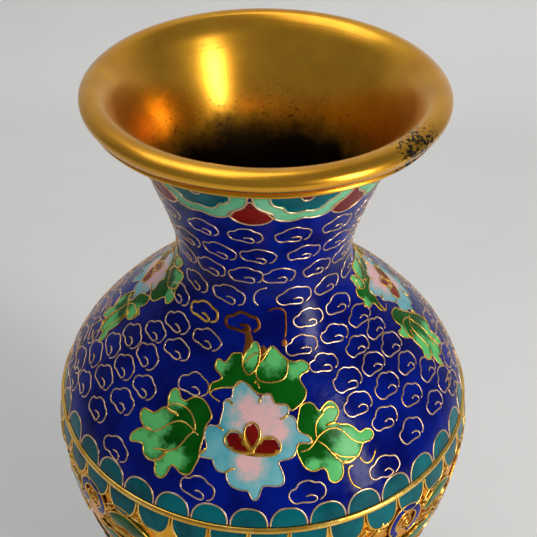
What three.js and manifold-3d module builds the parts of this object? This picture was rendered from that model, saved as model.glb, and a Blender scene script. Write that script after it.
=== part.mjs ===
// Cloisonne vase: a spun copper body in four soldered sections, gilt brass rings, and glass
// enamel laid on the copper as thin skins and inlays.
// Millimetres, +Z up, the foot stands on z = 0 and the axis is x = y = 0.
// Angles are degrees round the axis: 0 faces -Y and they grow towards +X.

import * as THREE from 'three';
import { mergeVertices } from 'three/addons/utils/BufferGeometryUtils.js';
import Module from 'manifold-3d';

const wasm = await Module();
wasm.setup();

// ---- Driving dimensions ----
const HEIGHT = 150;
const MOUTH_RADIUS = 28;
const FOOT_RADIUS = 23.4;
const SIDES = 32;
const ENAMEL = 0.9;
const COPPER = 1.1;
const SKIN_GAP = 0.15;
const JOINT_GAP = 0.3;
const BAND_RECESS = 0.45;
const WALL = ENAMEL + SKIN_GAP + COPPER;

// Levels where one section or field ends and the next begins.
const Z_MOUTH_RING = 145.8;
const Z_NECK_SEAM = 117;
const Z_SHOULDER_RING = 90.4;
const Z_BODY_SEAM = 77;
const Z_LOWER_RING = 64;
const Z_FOOT_COLLAR = 23;
const Z_FOOT_BORDER = 12.6;
const Z_FOOT_RING = 3.4;
const RING_HALF = 0.55;
const SCALLOP_HEIGHT = 3.7;

// Ornament counts.
const LAPPETS = 8;
const LAPPET_START = -28;
const BELLY_SCROLLS = 8;
const SCROLL_START = -5;

// Where the ornament lies, in millimetres down the skin from the mouth ring.
const LAPPET_DOWN = 4.6;
const SEGMENT_DOWN = 5.4;
const SCROLL_DOWN = 71.5;

// The flower sprays: where each flower lies, how far the spray tilts to its left, and its scale.
const SPRAYS = [
  { angle: -3, down: 50, tilt: 0, size: 1 },
  { angle: 97, down: 40, tilt: 38, size: 0.85 },
  { angle: -99, down: 36, tilt: -45, size: 0.85 },
];

// The plate that closes the body, and the enamel pool under it.
const PLATE_BOTTOM = 8.8;
const PLATE_TOP = 9.9;
const DOME = 0.4;
const POOL_BOTTOM = 7.7;
const POOL_TOP = 8.5;

// The outer silhouette from the foot ring up to the mouth ring, as radius and height.
const SILHOUETTE = [
  [22.2, 2], [19.6, 9], [18.9, 18], [21.2, 31], [26, 45], [31.8, 59], [35.9, 71],
  [37.5, 81], [37.4, 87], [34.7, 95.4], [27.9, 103.8], [19, 112], [15.9, 116.4],
  [14.7, 120.7], [15.3, 125.8], [18.2, 134.8], [20.2, 140.2], [22.5, 146.6],
];

// The heights where every skin bends, closer together where the silhouette curves more.
const LEVELS = [
  7, Z_FOOT_BORDER, 18, Z_FOOT_COLLAR, 30, 38, 47, 57, 66, 74, 82, 88, 94, 99.5, 104, 108, 112,
  Z_NECK_SEAM, 120.7, 125, 131, 138,
];

const silhouette = new THREE.SplineCurve(SILHOUETTE.map(([r, z]) => new THREE.Vector2(r, z)));
const silhouettePoints = silhouette.getPoints(600);

/** Radius of the outer silhouette at height z. */
function radiusAt(z) {
  const last = silhouettePoints.length - 2;
  let i = silhouettePoints.findIndex((p) => p.y > z) - 1;
  if (i < 0) i = z > silhouettePoints[last].y ? last : 0;
  const a = silhouettePoints[i];
  const b = silhouettePoints[i + 1];
  return a.x + ((b.x - a.x) * (z - a.y)) / (b.y - a.y);
}

/** The point at height z on the silhouette, moved inwards by inset along the surface normal. */
function skinPoint(z, inset) {
  const step = 0.4;
  const slope = (radiusAt(z + step) - radiusAt(z - step)) / (2 * step);
  const length = Math.hypot(1, slope);
  return new THREE.Vector2(radiusAt(z) - inset / length, z + (inset * slope) / length);
}

/** Height of the silhouette point that lies distance along it below the mouth ring. */
function heightAlong(distance) {
  const step = 0.2;
  let z = Z_MOUTH_RING;
  for (let left = distance; left > 0;) {
    const slope = (radiusAt(z + step) - radiusAt(z - step)) / (2 * step);
    const advance = Math.min(left, step * Math.hypot(1, slope));
    z -= advance / Math.hypot(1, slope);
    left -= advance;
  }
  return z;
}

// ---- Solids ----

/** Turns a closed section, counter-clockwise in radius and height, round the axis. */
function turned(section) {
  const geometry = new THREE.LatheGeometry([...section, section[0].clone()], SIDES);
  geometry.rotateX(Math.PI / 2);
  return merged(geometry);
}

/** A disc or plug: its section starts and ends on the axis. */
function turnedSolid(section) {
  const geometry = new THREE.LatheGeometry(section, SIDES);
  geometry.rotateX(Math.PI / 2);
  return merged(geometry);
}

function merged(geometry) {
  geometry.deleteAttribute('normal');
  geometry.deleteAttribute('uv');
  return mergeVertices(geometry, 1e-4);
}

/** A skin of the vase between two heights and two insets from the silhouette. */
function skin(bottom, top, outerInset, innerInset) {
  const between = LEVELS.filter((z) => z > bottom + 0.5 && z < top - 0.5);
  const heights = [bottom, ...between, top];
  const outside = heights.map((z) => skinPoint(z, outerInset));
  const inside = heights.map((z) => skinPoint(z, innerInset));
  return turned([...outside, ...inside.reverse()]);
}

function ring(points) {
  return turned(points.map(([r, z]) => new THREE.Vector2(r, z)));
}

function toSolid(geometry) {
  const vertProperties = Float32Array.from(geometry.attributes.position.array);
  const triVerts = Uint32Array.from(geometry.index.array);
  return new wasm.Manifold(new wasm.Mesh({ numProp: 3, vertProperties, triVerts }));
}

/** The largest single body of a solid, as a geometry. */
function toGeometry(solid) {
  const bodies = solid.decompose().sort((a, b) => b.volume() - a.volume());
  const mesh = bodies[0].getMesh();
  const geometry = new THREE.BufferGeometry();
  geometry.setAttribute('position', new THREE.BufferAttribute(mesh.vertProperties, 3));
  geometry.setIndex(new THREE.BufferAttribute(mesh.triVerts, 1));
  return geometry;
}

/** Moves an outline outwards by distance. Its points are millimetres across and along the skin. */
function grown(outline, distance) {
  return outline.map((p, i) => {
    const before = outline[(i + outline.length - 1) % outline.length];
    const after = outline[(i + 1) % outline.length];
    const along = new THREE.Vector2().subVectors(after, before).normalize();
    return new THREE.Vector2(p.x + along.y * distance, p.y - along.x * distance);
  });
}

/**
 * A cutter that goes through the skin along its normals. The outline is counter-clockwise, in
 * millimetres across from the angle and up from the place that lies down the skin.
 */
function cutter(outline, angle, down, reach) {
  const spots = outline.map((p) => {
    const z = heightAlong(down - p.y);
    return { z, turn: THREE.MathUtils.degToRad(angle) + p.x / radiusAt(z) };
  });
  const position = [];
  for (const inset of [reach, -reach]) {
    for (const { z, turn } of spots) {
      const p = skinPoint(z, inset);
      position.push(p.x * Math.sin(turn), -p.x * Math.cos(turn), p.y);
    }
  }
  const n = outline.length;
  const index = [];
  for (const [a, b, c] of THREE.ShapeUtils.triangulateShape(outline, [])) {
    index.push(a + n, b + n, c + n, a, c, b);
  }
  for (let i = 0; i < n; i += 1) {
    const j = (i + 1) % n;
    index.push(i, j, j + n, i, j + n, i + n);
  }
  const geometry = new THREE.BufferGeometry();
  geometry.setAttribute('position', new THREE.Float32BufferAttribute(position, 3));
  geometry.setIndex(index);
  return toSolid(geometry);
}

/** A rounded outline with even lobes, counter-clockwise. */
function lobed(halfWidth, halfHeight, lobes, depth, points, turn = 0) {
  const outline = [];
  for (let i = 0; i < points; i += 1) {
    const t = (2 * Math.PI * i) / points;
    const swell = 1 + depth * Math.cos(lobes * t + turn);
    outline.push(new THREE.Vector2(halfWidth * swell * Math.cos(t), halfHeight * swell * Math.sin(t)));
  }
  return outline;
}

/** A bowl: flat across the top and round below, counter-clockwise. */
function bowl(halfWidth, height, points) {
  const outline = [];
  for (let i = 0; i <= points; i += 1) {
    const t = Math.PI + (Math.PI * i) / points;
    outline.push(new THREE.Vector2(halfWidth * Math.cos(t), height * Math.sin(t)));
  }
  return outline;
}

/** An open ring like a letter C, counter-clockwise. */
function scroll(outer, inner, points) {
  const outline = [];
  const sweep = 1.5 * Math.PI;
  for (let i = 0; i <= points; i += 1) {
    const t = (sweep * i) / points;
    outline.push(new THREE.Vector2(outer * Math.cos(t), outer * Math.sin(t)));
  }
  for (let i = points; i >= 0; i -= 1) {
    const t = (sweep * i) / points;
    outline.push(new THREE.Vector2(inner * Math.cos(t), inner * Math.sin(t)));
  }
  return outline;
}

// ---- Materials ----
function enamel(color) {
  return new THREE.MeshStandardMaterial({ color, roughness: 0.18, metalness: 0 });
}

const materials = {
  gilt: new THREE.MeshStandardMaterial({ color: 0xc9952e, roughness: 0.3, metalness: 1 }),
  copper: new THREE.MeshStandardMaterial({ color: 0x9a5a30, roughness: 0.45, metalness: 1 }),
  cobalt: enamel(0x06107a),
  teal: enamel(0x0a6470),
  mint: enamel(0x58b080),
  red: enamel(0x6e1410),
  leaf: enamel(0x1f7a2c),
  petal: enamel(0x86b6bc),
};

const vase = new THREE.Group();

function add(name, geometry, material) {
  const mesh = new THREE.Mesh(geometry, material);
  mesh.name = name;
  vase.add(mesh);
}

// ---- Copper body ----
function addCopperBody() {
  const outer = ENAMEL + SKIN_GAP;
  const inner = WALL;
  const half = JOINT_GAP / 2;
  add('copper_neck', skin(Z_NECK_SEAM + half, Z_MOUTH_RING - JOINT_GAP, outer, inner), materials.copper);
  add('copper_shoulder', skin(Z_BODY_SEAM + half, Z_NECK_SEAM - half, outer, inner), materials.copper);
  add('copper_lower_body', skin(Z_FOOT_BORDER + half, Z_BODY_SEAM - half, outer, inner), materials.copper);
  add('copper_foot', skin(Z_FOOT_RING + JOINT_GAP, Z_FOOT_BORDER - half, outer, inner), materials.copper);
}

/** The plate that closes the body, and the enamel pool on its underside. */
function addBase() {
  const reach = radiusAt(PLATE_TOP) - WALL - 2 * JOINT_GAP;
  const rim = reach - 2 * JOINT_GAP;
  const plate = [
    [0, PLATE_BOTTOM + DOME], [reach, PLATE_BOTTOM], [reach, PLATE_TOP], [0, PLATE_TOP + DOME],
  ];
  add('base_plate', turnedSolid(plate.map(([r, z]) => new THREE.Vector2(r, z))), materials.copper);
  const pool = [
    [0, POOL_BOTTOM + DOME], [rim - 1, POOL_BOTTOM], [rim, POOL_BOTTOM + DOME], [rim, POOL_TOP],
    [0, POOL_TOP + DOME],
  ];
  add('base_enamel', turnedSolid(pool.map(([r, z]) => new THREE.Vector2(r, z))), materials.cobalt);
}

// ---- Gilt rings ----
function addMouthRing() {
  const funnel = skinPoint(Z_MOUTH_RING, WALL);
  const shelf = skinPoint(Z_MOUTH_RING, 0);
  add('mouth_ring', ring([
    [funnel.x, funnel.y],
    [shelf.x, shelf.y],
    [MOUTH_RADIUS - 2.2, Z_MOUTH_RING],
    [MOUTH_RADIUS - 1.3, Z_MOUTH_RING + 0.5],
    [MOUTH_RADIUS - 1.4, Z_MOUTH_RING + 1.1],
    [MOUTH_RADIUS - 0.4, HEIGHT - 2.3],
    [MOUTH_RADIUS, HEIGHT - 1.4],
    [MOUTH_RADIUS - 0.5, HEIGHT - 0.4],
    [MOUTH_RADIUS - 1.6, HEIGHT],
    [MOUTH_RADIUS - 3.2, HEIGHT - 0.25],
    [MOUTH_RADIUS - 4.5, HEIGHT - 1],
    [MOUTH_RADIUS - 5.9, HEIGHT - 2.2],
  ]), materials.gilt);
}

function addFootRing() {
  const inner = skinPoint(Z_FOOT_RING, WALL);
  const shelf = skinPoint(Z_FOOT_RING, 0);
  add('foot_ring', ring([
    [inner.x, 0],
    [FOOT_RADIUS - 0.7, 0],
    [FOOT_RADIUS, 0.8],
    [FOOT_RADIUS - 0.1, 1.9],
    [FOOT_RADIUS - 1, 2.8],
    [shelf.x, shelf.y],
    [inner.x, inner.y],
  ]), materials.gilt);
}

/** A half-round gilt wire ring soldered on the copper, between two enamel fields. */
function wireRing(name, z, half, proud) {
  const foot = ENAMEL;
  add(name, turned([
    skinPoint(z - half, foot),
    skinPoint(z - half, 0),
    skinPoint(z - half * 0.5, -proud),
    skinPoint(z + half * 0.5, -proud),
    skinPoint(z + half, 0),
    skinPoint(z + half, foot),
  ]), materials.gilt);
}

// ---- Enamel fields with their inlays ----
const REACH = 4;

/** Cuts an inlay out of the field and out of the inlays before it, and keeps it as its own body. */
function inlay(field, name, outline, angle, down, material) {
  const hole = cutter(grown(outline, JOINT_GAP), angle, down, REACH);
  let body = field.whole.intersect(cutter(outline, angle, down, REACH));
  for (const earlier of field.holes) {
    const apart = THREE.MathUtils.degToRad(earlier.angle - angle);
    if (Math.cos(apart) > 0.6) body = body.subtract(earlier.hole);
  }
  field.holes.push({ angle, hole });
  add(name, toGeometry(body), material);
}

function addCollar(field) {
  const pitch = 360 / LAPPETS;
  for (let i = 0; i < LAPPETS; i += 1) {
    const outline = lobed(5.1, 4.3, 3, 0.1, 12, Math.PI / 2);
    const angle = LAPPET_START + pitch * i;
    inlay(field, `collar_lappet_${i + 1}`, outline, angle, LAPPET_DOWN, materials.mint);
  }
  for (let i = 0; i < LAPPETS; i += 1) {
    const angle = LAPPET_START + pitch * (i + 0.5);
    inlay(field, `collar_segment_${i + 1}`, bowl(3.5, 3.9, 5), angle, SEGMENT_DOWN, materials.red);
  }
}

/** One flower with its calyx and leaves, placed in millimetres right and up from the flower. */
function addSpray(field, number, { angle, down, tilt, size }) {
  const middle = new THREE.Vector2();
  const carry = (p) => p.clone().rotateAround(middle, THREE.MathUtils.degToRad(tilt)).multiplyScalar(size);
  const piece = (name, outline, x, y, material) => {
    const centre = carry(new THREE.Vector2(x, y));
    const place = down - centre.y;
    const across = THREE.MathUtils.radToDeg(centre.x / radiusAt(heightAlong(place)));
    inlay(field, `spray_${number}_${name}`, outline.map(carry), angle + across, place, material);
  };
  piece('stamens', lobed(4.1, 2.4, 3, 0.08, 9, Math.PI / 2), -0.6, 0, materials.red);
  piece('flower', lobed(6.6, 7.4, 8, 0.06, 16), 0, 0, materials.petal);
  piece('calyx', lobed(7, 4.6, 6, 0.07, 12, Math.PI), 1, 10, materials.leaf);
  piece('left_leaf', lobed(5.6, 6, 6, 0.07, 12), -15, -1.4, materials.leaf);
  piece('right_leaf', lobed(6, 5.6, 6, 0.07, 12), 14.5, -1, materials.leaf);
}

function addUpperField() {
  const bottom = Z_SHOULDER_RING + RING_HALF + JOINT_GAP + SCALLOP_HEIGHT + JOINT_GAP;
  const field = { whole: toSolid(skin(bottom, Z_MOUTH_RING - JOINT_GAP, 0, ENAMEL)), holes: [] };
  addCollar(field);
  SPRAYS.forEach((spray, i) => addSpray(field, i + 1, spray));
  let ground = field.whole;
  for (const { hole } of field.holes) {
    ground = ground.subtract(hole);
  }
  add('upper_ground', toGeometry(ground), materials.cobalt);
}

/** A row of scalloped cells on one side of a ring: direction 1 above it, -1 below it. */
function scallopRow(name, ringZ, direction, height) {
  const near = ringZ + direction * (RING_HALF + JOINT_GAP);
  const far = near + direction * height;
  add(name, skin(Math.min(near, far), Math.max(near, far), 0, ENAMEL), materials.teal);
}

function addBellyBand() {
  const clear = RING_HALF + JOINT_GAP + SCALLOP_HEIGHT + JOINT_GAP;
  const bottom = Z_LOWER_RING + clear;
  const top = Z_SHOULDER_RING - clear;
  add('belly_band', skin(bottom, top, BAND_RECESS, ENAMEL), materials.gilt);
  const relief = toSolid(skin(bottom, top, -0.2, BAND_RECESS - SKIN_GAP));
  for (let i = 0; i < BELLY_SCROLLS; i += 1) {
    const angle = SCROLL_START + (360 / BELLY_SCROLLS) * i;
    const body = relief.intersect(cutter(scroll(3.6, 1.8, 6), angle, SCROLL_DOWN, REACH));
    add(`belly_scroll_${i + 1}`, toGeometry(body), materials.cobalt);
  }
}

function addLowerFields() {
  const top = Z_LOWER_RING - RING_HALF - JOINT_GAP - SCALLOP_HEIGHT - JOINT_GAP;
  const foot = Z_FOOT_BORDER + RING_HALF + JOINT_GAP;
  add('lower_ground', skin(Z_FOOT_COLLAR + JOINT_GAP, top, 0, ENAMEL), materials.cobalt);
  add('foot_collar', skin(foot, Z_FOOT_COLLAR, 0, ENAMEL), materials.mint);
  const skirt = Z_FOOT_BORDER - RING_HALF - JOINT_GAP;
  add('foot_enamel', skin(Z_FOOT_RING + JOINT_GAP, skirt, 0, ENAMEL), materials.teal);
}

addCopperBody();
addBase();
addMouthRing();
addFootRing();
wireRing('shoulder_ring', Z_SHOULDER_RING, RING_HALF, 0.4);
wireRing('lower_ring', Z_LOWER_RING, RING_HALF, 0.4);
wireRing('foot_border_ring', Z_FOOT_BORDER, RING_HALF, 0.3);
addUpperField();
scallopRow('scallops_over_shoulder_ring', Z_SHOULDER_RING, 1, SCALLOP_HEIGHT);
scallopRow('scallops_under_shoulder_ring', Z_SHOULDER_RING, -1, SCALLOP_HEIGHT);
addBellyBand();
scallopRow('scallops_over_lower_ring', Z_LOWER_RING, 1, SCALLOP_HEIGHT);
scallopRow('scallops_under_lower_ring', Z_LOWER_RING, -1, SCALLOP_HEIGHT);
addLowerFields();

export default vase;
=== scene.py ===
"""Looks for the cloisonne vase: smooth skins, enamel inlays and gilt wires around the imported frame.

Ornament is laid out on the skin by an angle and a distance. The angle is in degrees round the
axis: 0 faces the front, -Y, and it grows towards +X. The distance is in millimetres along the
silhouette, down from the mouth ring. Lengths are in millimetres until a mesh is written.
"""
import math
import random

import bpy
import numpy as np
from mathutils import Matrix, Vector
from mathutils.geometry import delaunay_2d_cdt


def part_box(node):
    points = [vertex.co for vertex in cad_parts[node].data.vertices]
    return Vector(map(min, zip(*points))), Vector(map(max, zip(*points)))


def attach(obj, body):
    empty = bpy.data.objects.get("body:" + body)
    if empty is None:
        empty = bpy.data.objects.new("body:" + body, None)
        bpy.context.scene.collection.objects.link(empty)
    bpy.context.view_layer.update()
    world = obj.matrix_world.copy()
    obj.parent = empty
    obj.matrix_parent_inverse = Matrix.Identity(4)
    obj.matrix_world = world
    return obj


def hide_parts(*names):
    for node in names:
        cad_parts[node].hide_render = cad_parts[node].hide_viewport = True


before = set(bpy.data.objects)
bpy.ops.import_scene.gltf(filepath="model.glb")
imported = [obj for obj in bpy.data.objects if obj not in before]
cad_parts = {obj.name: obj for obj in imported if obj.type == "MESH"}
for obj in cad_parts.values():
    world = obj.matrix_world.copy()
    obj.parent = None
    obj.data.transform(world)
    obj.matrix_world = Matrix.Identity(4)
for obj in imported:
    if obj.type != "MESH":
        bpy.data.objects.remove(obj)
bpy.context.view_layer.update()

MM = 0.001
BODY = "root"
TURN_STEPS = 256
RNG = random.Random(11)

# ---- Sizes, in millimetres: the frame's own, and finer ones for the look ----
HEIGHT = 150.0
MOUTH_RADIUS = 28.0
MOUTH_SEAT = 145.8
SHOULDER_RING = 90.4
LOWER_RING = 64.0
FOOT_COLLAR = 23.0
FOOT_BORDER = 12.6
FOOT_TOP = 3.4
FOOT_RADIUS = 23.4
RING_HALF = 0.55
NECK_SEAM = 117.0
BODY_SEAM = 77.0
JOINT_GAP = 0.3
SEAM_HALF = JOINT_GAP / 2
WALL = 2.15
LINER_TOP = 0.6
LINER_TOP_WALL = 0.62
LINER_FLARE = 6.0
GLASS = 0.9
UPPER_GLASS = 0.4
COPPER_LIFT = -1.05
BAND_RECESS = 0.45
SCALLOPS = 36
SCALLOP_HEIGHT = 4.1
BELLY_SCROLLS = 8
SCROLL_START = -5.0
LAPPETS = 8
LAPPET_START = -28.0
WIRE_HALF_WIDTH = 0.15
WIRE_PROUD = 0.09
SILHOUETTE = [
    (22.2, 2), (19.6, 9), (18.9, 18), (21.2, 31), (26, 45), (31.8, 59), (35.9, 71),
    (37.5, 81), (37.4, 87), (34.7, 95.4), (27.9, 103.8), (19, 112), (15.9, 116.4),
    (14.7, 120.7), (15.3, 125.8), (18.2, 134.8), (20.2, 140.2), (22.5, 146.6),
]


# ---- Curves and the skin ----
def spline(points, per_span=8, closed=False):
    """A Catmull-Rom curve through the points."""
    p = np.array(points, float)
    if closed:
        p = np.vstack([p[-1], p, p[:2]])
    else:
        p = np.vstack([p[0], p, p[-1]])
    t = np.linspace(0, 1, per_span, endpoint=False)[:, None]
    out = []
    for a, b, c, d in zip(p[:-3], p[1:-2], p[2:-1], p[3:]):
        out.append(b + 0.5 * t * ((c - a) + t * ((2 * a - 5 * b + 4 * c - d) + t * (3 * (b - c) + d - a))))
    if not closed:
        out.append(p[-1:])
    return np.vstack(out)


def even(points, step, closed=False):
    """The same line with points an even step apart."""
    p = np.asarray(points, float)
    if closed:
        p = np.vstack([p, p[:1]])
    run = np.concatenate([[0], np.cumsum(np.linalg.norm(np.diff(p, axis=0), axis=1))])
    count = max(3, int(round(run[-1] / step)))
    at = np.linspace(0, run[-1], count + 1)
    if closed:
        at = at[:-1]
    return np.stack([np.interp(at, run, p[:, k]) for k in range(p.shape[1])], 1)


_profile = spline(SILHOUETTE, 60)
_z = _profile[:, 1][::-1]
_r = _profile[:, 0][::-1]
_s = np.concatenate([[0], np.cumsum(np.hypot(np.diff(_r), np.diff(_z)))])
_s = _s - np.interp(-MOUTH_SEAT, -_z, _s)
_slope = np.gradient(_r, _z)


def down_to(z):
    """Distance along the skin from the mouth ring down to height z."""
    return float(np.interp(-z, -_z, _s))


def radius_at(s):
    return np.interp(s, _s, _r)


def place(angle, s, lift=0.0):
    """Points of the skin, lifted along its normal, in metres."""
    angle, s, lift = np.broadcast_arrays(np.radians(angle), np.asarray(s, float), lift)
    r, z, slope = (np.interp(s, _s, v) for v in (_r, _z, _slope))
    length = np.hypot(1, slope)
    out = r + lift / length
    up = z - lift * slope / length
    return np.stack([out * np.sin(angle), -out * np.cos(angle), up], -1) * MM


def skin_normal(angle, s):
    angle = np.radians(angle)
    slope = np.interp(s, _s, _slope)
    length = np.hypot(1, slope)
    return np.stack([np.sin(angle) / length, -np.cos(angle) / length, -slope / length], -1)


# ---- Meshes ----
def make_piece(name, verts, faces, look, replaces=(), tint=None):
    """look is a material and the name of a slot; the slot's name is not used."""
    material, slot = look
    mesh = bpy.data.meshes.new(name)
    mesh.from_pydata([tuple(v) for v in verts], [], [tuple(int(i) for i in f) for f in faces])
    mesh.update()
    mesh.polygons.foreach_set("use_smooth", [True] * len(mesh.polygons))
    if tint is not None:
        layer = mesh.attributes.new("tint", "FLOAT", "POINT")
        layer.data.foreach_set("value", np.asarray(tint, np.float32))
    piece = bpy.data.objects.new(name, mesh)
    bpy.context.scene.collection.objects.link(piece)
    piece.data.materials.append(material)
    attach(piece, BODY)
    if replaces:
        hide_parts(*replaces)
    return piece


def sharpen(piece, degrees=40):
    """Keeps real edges crisp while round stretches stay smooth."""
    mesh = piece.data
    mesh.update()
    mesh.set_sharp_from_angle(angle=math.radians(degrees))


def turned(name, section, look, replaces, on_axis=False):
    """Turns a section, counter-clockwise in radius and height, into a closed piece."""
    section = np.asarray(section, float)
    n = len(section)
    steps = TURN_STEPS
    turns = np.radians(np.arange(steps) * 360 / steps)
    verts = []
    for r, z in section:
        ring = np.stack([r * np.sin(turns), -r * np.cos(turns), np.full(steps, z)], -1) * MM
        verts.append(ring)
    verts = np.concatenate(verts)
    faces = []
    spans = range(n - 1) if on_axis else range(n)
    for i in spans:
        j = (i + 1) % n
        for k in range(steps):
            m = (k + 1) % steps
            faces.append((i * steps + k, i * steps + m, j * steps + m, j * steps + k))
    if on_axis:
        verts = np.vstack([verts, [[0, 0, section[0][1] * MM], [0, 0, section[-1][1] * MM]]])
        low, high = len(verts) - 2, len(verts) - 1
        last = (n - 1) * steps
        for k in range(steps):
            m = (k + 1) % steps
            faces.append((low, m, k))
            faces.append((high, last + k, last + m))
    sharpen(make_piece(name, verts, faces, look, replaces))


def section_at(s, lift):
    """Radius and height of skin points, in millimetres."""
    p = place(0, s, lift) / MM
    return np.stack([-p[..., 1], p[..., 2]], -1)


def skin_section(z_low, z_high, outer, inner, step=1.0):
    """Section of a skin between two heights and two lifts from the silhouette."""
    s = np.linspace(down_to(z_low), down_to(z_high), max(3, int((z_high - z_low) / step)))
    return np.vstack([section_at(s, outer), section_at(s, inner)[::-1]])


def inside(points, outline):
    """Which points lie inside a closed outline."""
    x, y = points[:, 0][:, None], points[:, 1][:, None]
    x0, y0 = outline[:, 0], outline[:, 1]
    x1, y1 = np.roll(x0, -1), np.roll(y0, -1)
    crosses = (y0 > y) != (y1 > y)
    with np.errstate(divide="ignore", invalid="ignore"):
        cut = (x1 - x0) * (y - y0) / (y1 - y0) + x0
    return (np.sum(crosses & (x < cut), axis=1) % 2) == 1


def edge_distance(points, outline):
    a = outline
    b = np.roll(outline, -1, axis=0)
    ab = b - a
    t = np.einsum("pnk,nk->pn", points[:, None] - a, ab) / np.maximum(np.sum(ab * ab, 1), 1e-12)
    near = a + np.clip(t, 0, 1)[..., None] * ab
    return np.linalg.norm(points[:, None] - near, axis=2).min(1)


class Cells:
    """Enamel inlays gathered into one piece. Each is a closed plate that follows the skin."""

    def __init__(self):
        self.verts = []
        self.faces = []
        self.tint = []
        self.count = 0

    def add(self, outline, lift=0.03, depth=0.45, grid=0.55, tint=None):
        """outline is a smooth closed line of (angle, distance). tint(points) gives 0 to 1."""
        mid = np.mean(outline, axis=0)
        scale = math.radians(1) * float(radius_at(mid[1]))
        flat = np.stack([(outline[:, 0] - mid[0]) * scale, -(outline[:, 1] - mid[1])], 1)
        rim = even(flat, 0.3, closed=True)
        low, high = rim.min(0), rim.max(0)
        gx, gy = np.meshgrid(np.arange(low[0], high[0], grid), np.arange(low[1], high[1], grid))
        gx = gx + (np.arange(gx.shape[0]) % 2)[:, None] * grid / 2
        net = np.stack([gx.ravel(), gy.ravel()], 1)
        net = net[inside(net, rim)]
        if len(net):
            net = net[edge_distance(net, rim) > 0.45 * grid]
        points = np.vstack([rim, net])
        n = len(rim)
        edges = [(i, (i + 1) % n) for i in range(n)]
        done = delaunay_2d_cdt([Vector(p) for p in points], edges, [], 1, 1e-6)
        spots = np.array([tuple(v) for v in done[0]])
        around = edge_distance(spots, rim)
        crown = lift * np.clip(around / 0.5, 0, 1) ** 0.5
        angle = mid[0] + spots[:, 0] / scale
        s = mid[1] - spots[:, 1]
        top = place(angle, s, crown)
        under = place(angle, s, -depth)
        start, m = self.count, len(spots)
        self.verts += [top, under]
        border = {}
        for a, b, c in done[2]:
            ax, bx, cx = spots[a], spots[b], spots[c]
            if (bx[0] - ax[0]) * (cx[1] - ax[1]) - (bx[1] - ax[1]) * (cx[0] - ax[0]) < 0:
                b, c = c, b
            self.faces.append((start + a, start + b, start + c))
            self.faces.append((start + m + a, start + m + c, start + m + b))
            for e in ((a, b), (b, c), (c, a)):
                border[e] = True
        for a, b in border:
            if (b, a) not in border:
                self.faces.append((start + a, start + m + a, start + m + b, start + b))
        value = np.zeros(m) if tint is None else np.clip(tint(np.stack([angle, s], 1)), 0, 1)
        self.tint += [value, value]
        self.count += 2 * m

    def build(self, name, look, replaces=()):
        tint = np.concatenate(self.tint)
        sharpen(make_piece(name, np.vstack(self.verts), self.faces, look, replaces, tint), 50)


class Wires:
    """Cloison wires gathered into one piece: rounded strips that stand a little off the skin."""

    SIDES = 8

    def __init__(self, half_width=WIRE_HALF_WIDTH, proud=WIRE_PROUD, base=0.0):
        self.half_width = half_width
        self.proud = proud
        self.base = base
        self.verts = []
        self.faces = []
        self.count = 0

    def add(self, line, closed=False, width=1.0, base=None):
        """line is a smooth line of (angle, distance)."""
        line = np.asarray(line, float)
        scale = math.radians(1) * float(radius_at(line[:, 1].mean()))
        flat = even(line * (scale, 1), 0.3, closed) / (scale, 1)
        base = self.base if base is None else base
        centre = place(flat[:, 0], flat[:, 1], base)
        normal = skin_normal(flat[:, 0], flat[:, 1])
        if closed:
            along = np.roll(centre, -1, 0) - np.roll(centre, 1, 0)
        else:
            along = np.gradient(centre, axis=0)
        side = np.cross(normal, along)
        side /= np.maximum(np.linalg.norm(side, axis=1), 1e-12)[:, None]
        n = len(flat)
        half = np.full(n, self.half_width * width) * MM
        if not closed:
            half[[0, -1]] *= 0.55
        rise = self.proud * MM
        start = self.count
        turns = np.arange(self.SIDES) * 2 * math.pi / self.SIDES
        across = side * half[:, None]
        ring = [across * math.cos(t) + normal * (rise * math.sin(t)) for t in turns]
        self.verts.append((centre[:, None] + np.stack(ring, 1)).reshape(-1, 3))
        k = self.SIDES
        for i in range(n if closed else n - 1):
            here = start + i * k
            there = start + (i + 1) % n * k
            for a in range(k):
                b = (a + 1) % k
                self.faces.append((here + a, here + b, there + b, there + a))
        if not closed:
            self.faces.append(tuple(start + a for a in reversed(range(k))))
            self.faces.append(tuple(start + (n - 1) * k + a for a in range(k)))
        self.count += n * k

    def build(self, name, look):
        make_piece(name, np.vstack(self.verts), self.faces, look)


# ---- Materials ----
def linear(*srgb):
    """A linear colour with alpha from an 0 to 255 display colour."""
    c = [v / 255 for v in srgb]
    return tuple(v / 12.92 if v <= 0.04045 else ((v + 0.055) / 1.055) ** 2.4 for v in c) + (1.0,)


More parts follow.
